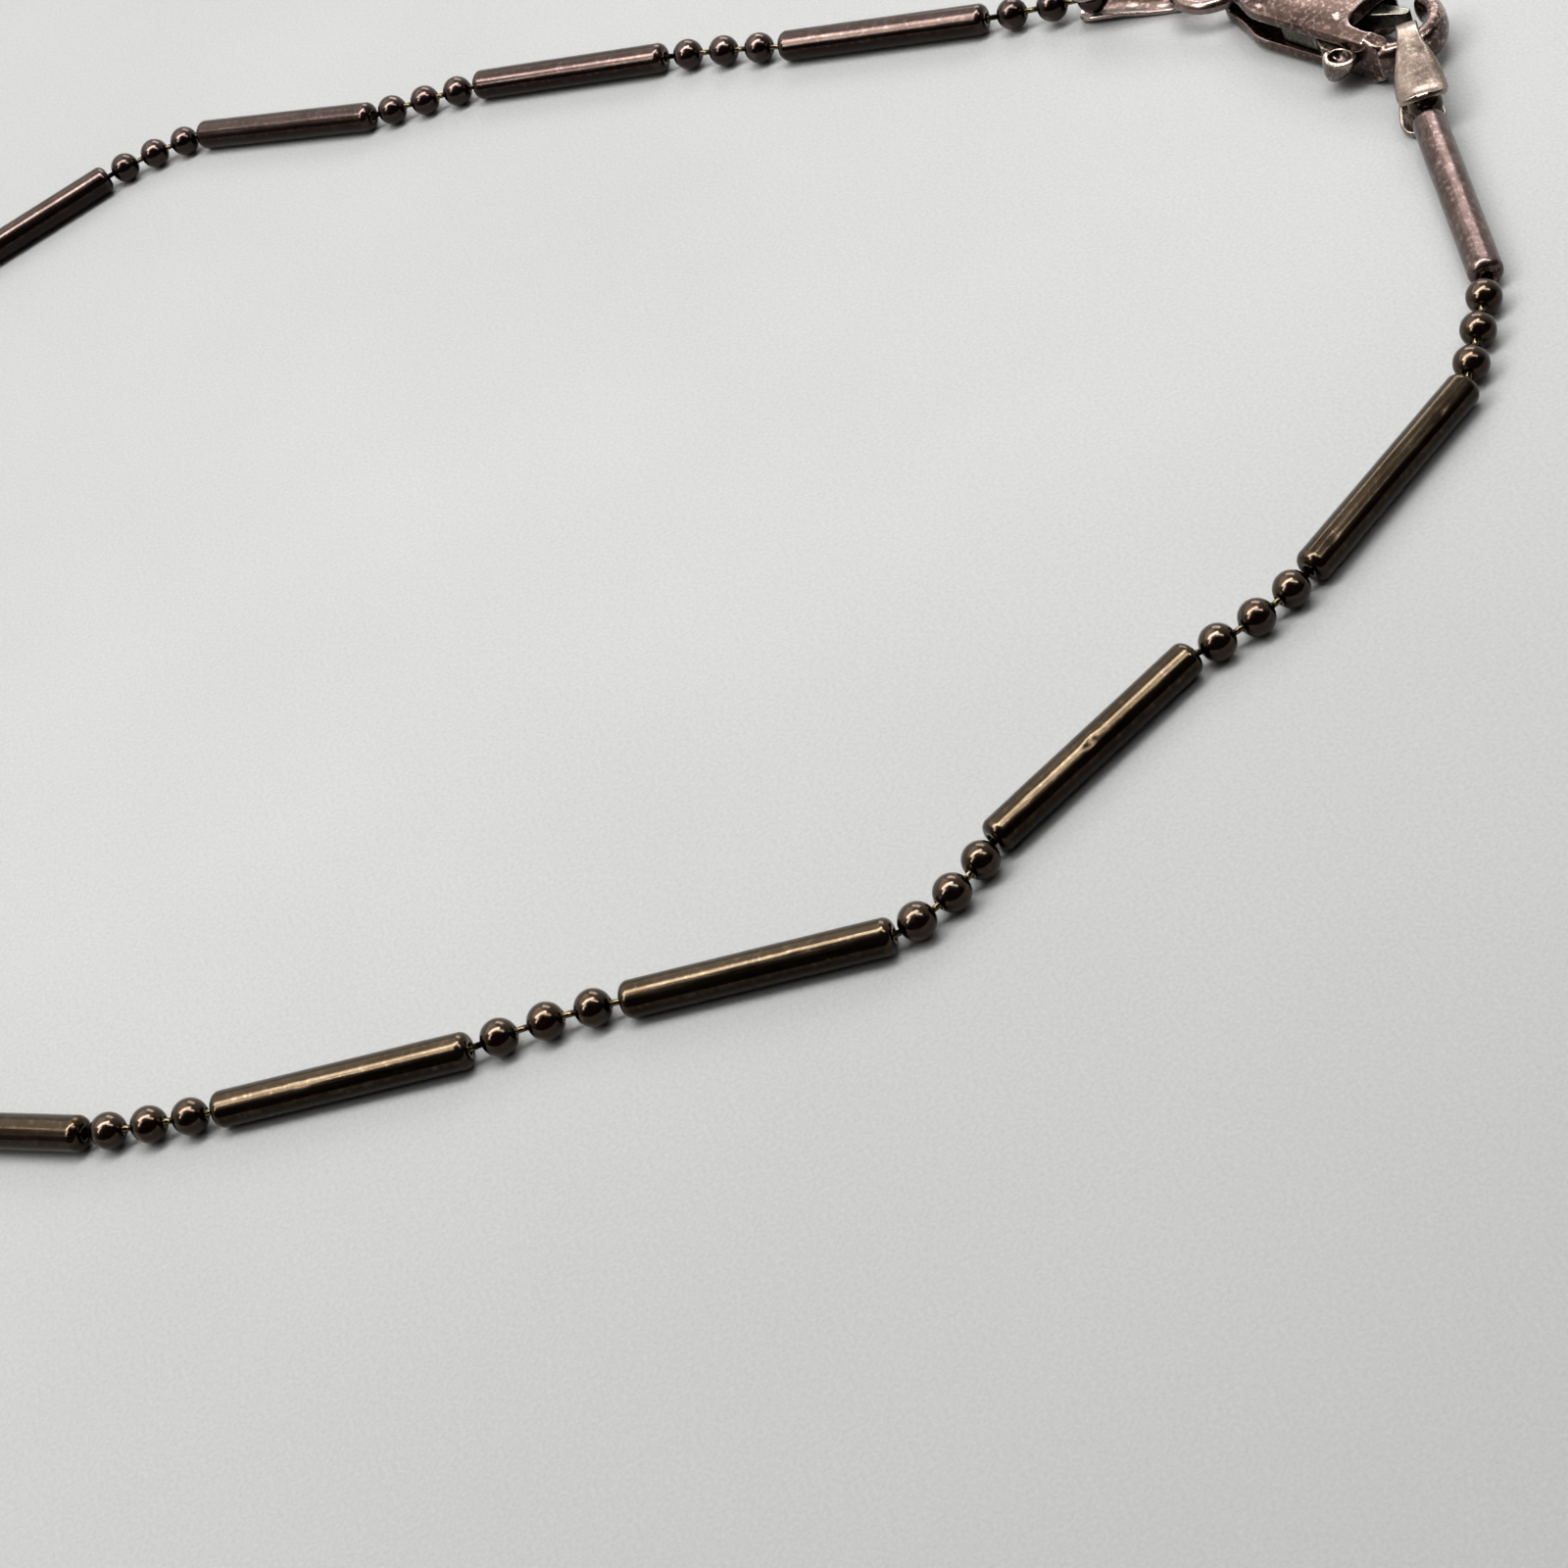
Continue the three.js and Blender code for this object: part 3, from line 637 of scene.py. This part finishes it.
def make_lever_pin(material):
    """The pin the lever turns on, its two ends peened to low domes."""
    profile = [(0.06, 0.02), (0.07, 0.16), (0.1, 0.24), (0.17, 0.29), (0.3, 0.3)]
    levels = profile + [(CLASP_THICKNESS - z, r) for z, r in reversed(profile)]
    rings = [[Vector((*on_circle((0, 0), r, 360 * k / 40), z)) for k in range(40)] for z, r in levels]
    piece = capped_skin("lever_pin_look", rings)
    pivot = CLASP_EYE + Matrix.Rotation(math.radians(CLASP_HEADING), 3, "Z") @ LEVER_PIVOT.to_3d()
    piece.matrix_world = place_matrix(pivot)
    finish_piece(piece, "clasp", [material], "lever_pin")


def make_spring(material):
    """A leaf folded back on itself between the spine and the lever's heel."""
    path = [(4.1, 0.84), (3.5, 0.84), (2.95, 0.83), (2.62, 0.7), (2.66, 0.47), (2.95, 0.36), (3.3, 0.42), (3.7, 0.49)]
    line = [Vector(row) for row in smooth_through(path, 6)]
    rings = []
    for i, spot in enumerate(line):
        way = (line[min(i + 1, len(line) - 1)] - line[max(i - 1, 0)]).normalized()
        off = Vector((-way.y, way.x)) * 0.045
        rings.append([
            Vector((*(spot + off), 0.92)), Vector((*(spot + off), 1.58)),
            Vector((*(spot + off * 0.6), 1.6)), Vector((*(spot - off * 0.6), 1.6)),
            Vector((*(spot - off), 1.58)), Vector((*(spot - off), 0.92)),
            Vector((*(spot - off * 0.6), 0.9)), Vector((*(spot + off * 0.6), 0.9)),
        ])
    piece = capped_skin("lever_spring_look", rings)
    piece.matrix_world = place_matrix(CLASP_EYE, CLASP_HEADING)
    finish_piece(piece, "clasp", [material], "lever_spring")


# ---------- materials ----------

# Depths of relief, in metres
SCRATCH_DEPTH = 1.6e-6
GRAIN_DEPTH = 3.0e-5
# Painted shade on the surface: how far along +Y it starts and where it is darkest, in mm where the route is laid
PAINTED_SHADE_FROM = 112
PAINTED_SHADE_TO = 42


def add_node(tree, kind, inputs=None, **settings):
    node = tree.nodes.new(kind)
    for key, value in settings.items():
        setattr(node, key, value)
    for key, value in (inputs or {}).items():
        if isinstance(value, bpy.types.NodeSocket):
            tree.links.new(value, node.inputs[key])
        else:
            node.inputs[key].default_value = value
    return node


def add_noise(tree, mm, stretch, detail, phase, roughness=0.55):
    """Noise over the piece, with the stretch in features to the mm along each axis."""
    moved = add_node(tree, "ShaderNodeMapping", {"Vector": mm, "Scale": stretch})
    values = {"Vector": moved.outputs[0], "W": phase, "Scale": 1.0, "Detail": detail, "Roughness": roughness}
    return add_node(tree, "ShaderNodeTexNoise", values, noise_dimensions="4D").outputs["Fac"]


def add_range(tree, value, low, high, out_low=0.0, out_high=1.0):
    values = {"Value": value, "From Min": low, "From Max": high, "To Min": out_low, "To Max": out_high}
    return add_node(tree, "ShaderNodeMapRange", values, clamp=True).outputs[0]


def add_mix(tree, share, a, b, blend="MIX"):
    node = tree.nodes.new("ShaderNodeMix")
    node.data_type = "RGBA"
    node.blend_type = blend
    for socket, value in ((node.inputs[0], share), (node.inputs[6], a), (node.inputs[7], b)):
        if isinstance(value, bpy.types.NodeSocket):
            tree.links.new(value, socket)
        else:
            socket.default_value = value
    return node.outputs[2]


def rgba(color):
    return (*color, 1.0)


def new_tree(name):
    """A material with an empty node tree, and coordinates over its piece in mm."""
    material = bpy.data.materials.new(name)
    material.use_nodes = True
    tree = material.node_tree
    tree.nodes.clear()
    own = add_node(tree, "ShaderNodeTexCoord").outputs["Object"]
    mm = add_node(tree, "ShaderNodeMapping", {"Vector": own, "Scale": (1 / MM,) * 3}).outputs[0]
    return material, tree, mm


def metal(name, dark, mid, worn, rough, streaks, blotch=0.7, scratch=1.0, edge=0.5, patchy=0.5, painted_underside_shade=0.0):
    """Tarnished silver: blotches of tarnish, fine streaks, worn edges, and scratches that roughen it.

    The lower side, where the piece lies on the surface, gets painted shade by its height, by the share the last
    argument gives.
    """
    material, tree, mm = new_tree(name)
    info = add_node(tree, "ShaderNodeObjectInfo")
    phase = add_node(tree, "ShaderNodeMath", {0: info.outputs["Random"], 1: 40.0}, operation="MULTIPLY").outputs[0]
    clouds = add_noise(tree, mm, (blotch,) * 3, 5, phase)
    mottle = add_noise(tree, mm, (4.5,) * 3, 4, phase, 0.65)
    lines = add_noise(tree, mm, streaks, 3, phase)
    fine = add_noise(tree, mm, tuple(2.2 * s for s in streaks), 4, phase, 0.7)
    point = add_node(tree, "ShaderNodeNewGeometry").outputs["Pointiness"]
    height = add_node(tree, "ShaderNodeSeparateXYZ", {"Vector": mm}).outputs["Z"]
    # Height over the piece with a mottled edge, for the painted shade on its lower side
    underside_shade_height = add_node(tree, "ShaderNodeMath", {0: mottle, 1: 0.5, 2: height}, operation="MULTIPLY_ADD").outputs[0]
    base = add_mix(tree, add_range(tree, clouds, 0.36, 0.64), rgba(dark), rgba(mid))
    # What drives each further layer, its low and high, how far it covers, its colour
    for driver, low, high, cover, color in (
        (lines, 0.4, 0.72, 0.55, mid),
        (mottle, 0.52, 0.70, patchy, worn),
        (mottle, 0.45, 0.30, patchy, dark),
        # Painted shade: the lower side darkened almost to black by height
        (underside_shade_height, 0.68, 0.34, painted_underside_shade, [c * 0.12 for c in dark]),
        (point, 0.505, 0.56, edge, worn),
        (point, 0.49, 0.44, 0.8, [c * 0.35 for c in dark]),
    ):
        base = add_mix(tree, add_range(tree, driver, low, high, 0.0, cover), base, rgba(color))
    roughness = add_range(tree, fine, 0.3, 0.72, rough - 0.06, rough + 0.12)
    relief = add_node(tree, "ShaderNodeMath", {0: lines, 1: 0.5, 2: fine}, operation="MULTIPLY_ADD").outputs[0]
    bump = add_node(tree, "ShaderNodeBump", {"Height": relief, "Strength": 1.0, "Distance": SCRATCH_DEPTH * scratch})
    shader = add_node(tree, "ShaderNodeBsdfPrincipled", {
        "Base Color": base, "Roughness": roughness, "Metallic": 1.0, "Normal": bump.outputs[0],
    })
    add_node(tree, "ShaderNodeOutputMaterial", {"Surface": shader.outputs[0]})
    return material


def floor_material():
    """A pale, fine-grained surface, with painted shade that darkens it towards the near side."""
    material, tree, mm = new_tree("pale_surface")
    grain = add_noise(tree, mm, (6.0,) * 3, 2, 0.0, 0.7)
    tone = add_noise(tree, mm, (0.05,) * 3, 3, 2.0)
    depth = add_node(tree, "ShaderNodeSeparateXYZ", {"Vector": mm}).outputs["Y"]
    near = add_range(tree, depth, PAINTED_SHADE_FROM + SHIFT.y, PAINTED_SHADE_TO + SHIFT.y)
    base = add_mix(tree, add_range(tree, tone, 0.3, 0.7), rgba((0.252, 0.253, 0.248)), rgba((0.268, 0.269, 0.265)))
    # Painted shade: the surface darkened towards the near side
    base = add_mix(tree, near, base, rgba((0.172, 0.171, 0.171)))
    base = add_mix(tree, add_range(tree, grain, 0.32, 0.68, 0.0, 0.16), base, rgba((0.03, 0.03, 0.03)))
    bump = add_node(tree, "ShaderNodeBump", {"Height": grain, "Strength": 1.0, "Distance": GRAIN_DEPTH})
    shader = add_node(tree, "ShaderNodeBsdfPrincipled", {
        "Base Color": base, "Roughness": 0.55, "Specular IOR Level": 0.35, "Normal": bump.outputs[0],
    })
    add_node(tree, "ShaderNodeOutputMaterial", {"Surface": shader.outputs[0]})
    return material


# ---------- the necklace ----------

BAR_STREAKS = (0.16, 5.0, 5.0)
ROUND_STREAKS = (2.0, 2.6, 2.6)

# The last argument of each chain material is the share of painted shade on its lower side
olive_bar = metal(
    "olive_bar", (0.030, 0.020, 0.011), (0.052, 0.038, 0.024), (0.125, 0.094, 0.066),
    rough=0.15, streaks=BAR_STREAKS, blotch=0.35, painted_underside_shade=0.85)
plum_bar = metal(
    "plum_bar", (0.032, 0.020, 0.017), (0.060, 0.042, 0.036), (0.14, 0.105, 0.092),
    rough=0.17, streaks=BAR_STREAKS, blotch=0.4, painted_underside_shade=0.8)
rose_bar = metal(
    "rose_bar", (0.045, 0.026, 0.022), (0.12, 0.082, 0.072), (0.32, 0.245, 0.225),
    rough=0.24, streaks=BAR_STREAKS, blotch=0.9, scratch=1.6, patchy=0.7, painted_underside_shade=0.7)
olive_bead = metal(
    "olive_bead", (0.032, 0.021, 0.013), (0.060, 0.043, 0.030), (0.14, 0.102, 0.078),
    rough=0.13, streaks=ROUND_STREAKS, blotch=0.9, painted_underside_shade=0.8)
plum_bead = metal(
    "plum_bead", (0.030, 0.019, 0.016), (0.058, 0.040, 0.035), (0.14, 0.104, 0.092),
    rough=0.15, streaks=ROUND_STREAKS, blotch=0.9, painted_underside_shade=0.8)
clasp_metal = metal(
    "clasp_silver", (0.030, 0.016, 0.012), (0.10, 0.062, 0.051), (0.46, 0.355, 0.315),
    rough=0.21, streaks=(1.2, 3.5, 3.5), blotch=0.55, scratch=2.4, edge=0.9)
tag_metal = metal(
    "tag_silver", (0.055, 0.034, 0.027), (0.24, 0.185, 0.150), (0.56, 0.485, 0.40),
    rough=0.23, streaks=(1.4, 4.0, 4.0), blotch=0.5, scratch=2.2, edge=0.3)
lever_metal = metal(
    "lever_silver", (0.03, 0.027, 0.022), (0.07, 0.064, 0.053), (0.24, 0.22, 0.18),
    rough=0.26, streaks=(1.0, 4.0, 4.0), blotch=0.8, scratch=1.8, edge=0.8)
tab_metal = metal(
    "tab_silver", (0.030, 0.022, 0.018), (0.11, 0.086, 0.072), (0.42, 0.35, 0.295),
    rough=0.19, streaks=(2.0, 3.0, 3.0), blotch=0.9, scratch=1.6, edge=0.9)
pin_metal = metal(
    "pin_silver", (0.16, 0.115, 0.06), (0.34, 0.265, 0.16), (0.58, 0.49, 0.33),
    rough=0.2, streaks=(0.8, 5.0, 5.0), blotch=1.2)

OLIVE = (olive_bar, "hook_side_chain")
ROSE = (rose_bar, "hook_side_chain")
PLUM = (plum_bar, "ring_side_chain")
OLIVE_RUN = (olive_bead, pin_metal, "hook_side_chain")
PLUM_RUN = (plum_bead, pin_metal, "ring_side_chain")

make_clasp_body(clasp_metal)
make_lever(lever_metal, tab_metal)
make_lever_pin(pin_metal)
make_spring(pin_metal)

ring_centre = step_from(CLASP_EYE, CLASP_HEADING, RING_CENTRE.x, -CLASP_THICKNESS / 2)
make_ring(ring_centre, clasp_metal)


def lay_links(end, links, bar_look, run_looks, bars, runs):
    """Lays a run and a bar for each link, numbered from the given first bar and run."""
    for i, (first, last, gap, heading) in enumerate(links):
        run = f"bead_run_{runs + i:02d}"
        end = make_run(run, run_stops(end, first, last, gap), run_looks)
        bar = f"bar_{bars + i:02d}"
        end = make_bar(bar, end, heading, bar_look, 1.7 * (bars + i))
    return end


def lay_ring_side():
    fold = step_from(ring_centre, RING_TAG_HEADING, RING_RADIUS - RING_TAG_INSET, ring_centre.z)
    bead = make_tag("ring_side_tag", fold, RING_TAG_HEADING, clasp_metal, 3.0)
    heading, gap, drops = RING_SIDE_FIRST_RUN
    stops = [bead]
    for length, drop in zip((2 * CHAIN_RADIUS + gap, 2 * CHAIN_RADIUS + gap, pin_reach(gap)), drops):
        stops.append(step_from(stops[-1], heading, length, drop))
    end = make_run("bead_run_01", stops, PLUM_RUN, starts_with_bead=True)
    end = make_bar("bar_01", end, RING_SIDE_FIRST_BAR_HEADING, PLUM, 1.7)
    end = lay_links(end, RING_SIDE_LINKS, PLUM, PLUM_RUN, 2, 2)
    make_run("bead_run_12", run_stops(end, *LOOSE_RUN), PLUM_RUN, head_start=LOOSE_PIN_HEAD_START)


def lay_hook_side():
    bead = make_tag("hook_side_tag", HOOK_TAG_FOLD, HOOK_TAG_HEADING, tag_metal, 8.0)
    heading, gap, drop = HOOK_SIDE_PIN
    end = step_from(bead, heading, pin_reach(gap), drop)
    end = make_run("end_bead", [bead, end], OLIVE_RUN, starts_with_bead=True)
    end = make_bar("bar_12", end, HOOK_SIDE_FIRST_BAR_HEADING, ROSE, 20.0, end.z - CHAIN_RADIUS)
    lay_links(end, HOOK_SIDE_LINKS, OLIVE, OLIVE_RUN, 13, 13)


lay_ring_side()
lay_hook_side()


# ---------- surface, light and camera ----------

# The floor's sizes are in metres. The camera's height is in mm and its angles in degrees.
FLOOR_HALF = 1.5
FLOOR_DROP = 0.00001
CAMERA_HEIGHT = 91.76
CAMERA_PITCH = 42.70
CAMERA_ROLL = -28.28
CAMERA_LENS = 79.49
SENSOR_WIDTH = 36


def make_floor():
    shape = bmesh.new()
    bmesh.ops.create_grid(shape, x_segments=8, y_segments=8, size=FLOOR_HALF)
    mesh = bpy.data.meshes.new("surface")
    shape.to_mesh(mesh)
    shape.free()
    surface = bpy.data.objects.new("surface", mesh)
    surface.location.z = -FLOOR_DROP
    surface.data.materials.append(floor_material())
    bpy.context.scene.collection.objects.link(surface)


def add_light(name, place, target, size, power):
    """A flat light, its place and target in mm where the route is laid, its size in metres."""
    data = bpy.data.lights.new(name, "AREA")
    data.shape = "RECTANGLE"
    data.size, data.size_y = size
    data.energy = power
    light = bpy.data.objects.new(name, data)
    light.location = (Vector(place) + SHIFT) * MM
    aim = (Vector(target) - Vector(place)).to_track_quat("-Z", "Y")
    light.rotation_euler = aim.to_euler()
    bpy.context.scene.collection.objects.link(light)


def make_world():
    """A room that is bright on the far side and dark on the near side, with a pale backdrop."""
    world = bpy.data.worlds.new("room")
    world.use_nodes = True
    tree = world.node_tree
    tree.nodes.clear()
    direction = add_node(tree, "ShaderNodeTexCoord").outputs["Generated"]
    parts = add_node(tree, "ShaderNodeSeparateXYZ", {"Vector": direction})
    share = add_range(tree, parts.outputs["Y"], -0.35, 0.75)
    room = add_mix(tree, share, rgba((0.03, 0.024, 0.024)), rgba((0.95, 0.95, 0.92)))
    seen = add_node(tree, "ShaderNodeLightPath").outputs["Is Camera Ray"]
    tint = add_mix(tree, seen, room, rgba((0.66, 0.66, 0.64)))
    background = add_node(tree, "ShaderNodeBackground", {"Color": tint, "Strength": 1.0})
    add_node(tree, "ShaderNodeOutputWorld", {"Surface": background.outputs[0]})
    bpy.context.scene.world = world


def make_camera():
    """The photograph's viewpoint: above the surface, looking down and rolled."""
    pitch, roll = math.radians(CAMERA_PITCH), math.radians(CAMERA_ROLL)
    right = Vector((1, 0, 0))
    ahead = Vector((0, math.cos(pitch), -math.sin(pitch)))
    up = right.cross(ahead)
    turned_right = right * math.cos(roll) + up * math.sin(roll)
    turned_up = up * math.cos(roll) - right * math.sin(roll)
    data = bpy.data.cameras.new("camera")
    data.sensor_width = SENSOR_WIDTH
    data.lens = CAMERA_LENS
    data.clip_start = 0.005
    data.clip_end = 10
    camera = bpy.data.objects.new("camera", data)
    place = (Vector((0, 0, CAMERA_HEIGHT)) + SHIFT) * MM
    axes = Matrix((turned_right, turned_up, -ahead)).transposed()
    camera.matrix_world = Matrix.Translation(place) @ axes.to_4x4()
    bpy.context.scene.collection.objects.link(camera)
    bpy.context.scene.camera = camera


make_floor()
make_world()
add_light("back_strip", (-50, 145, 310), (-50, 130, 0), (0.42, 0.08), 2.0)
add_light("left_strip", (-260, 40, 310), (-60, 100, 0), (0.05, 0.24), 0.45)
add_light("right_strip", (160, 40, 310), (20, 110, 0), (0.05, 0.24), 0.40)
add_light("left_window", (-150, 330, 360), (0, 100, 0), (0.5, 0.3), 0.60)
add_light("far_window", (190, 410, 225), (38, 125, 0), (0.24, 0.14), 0.60)
make_camera()
bpy.context.scene.view_settings.view_transform = "Standard"
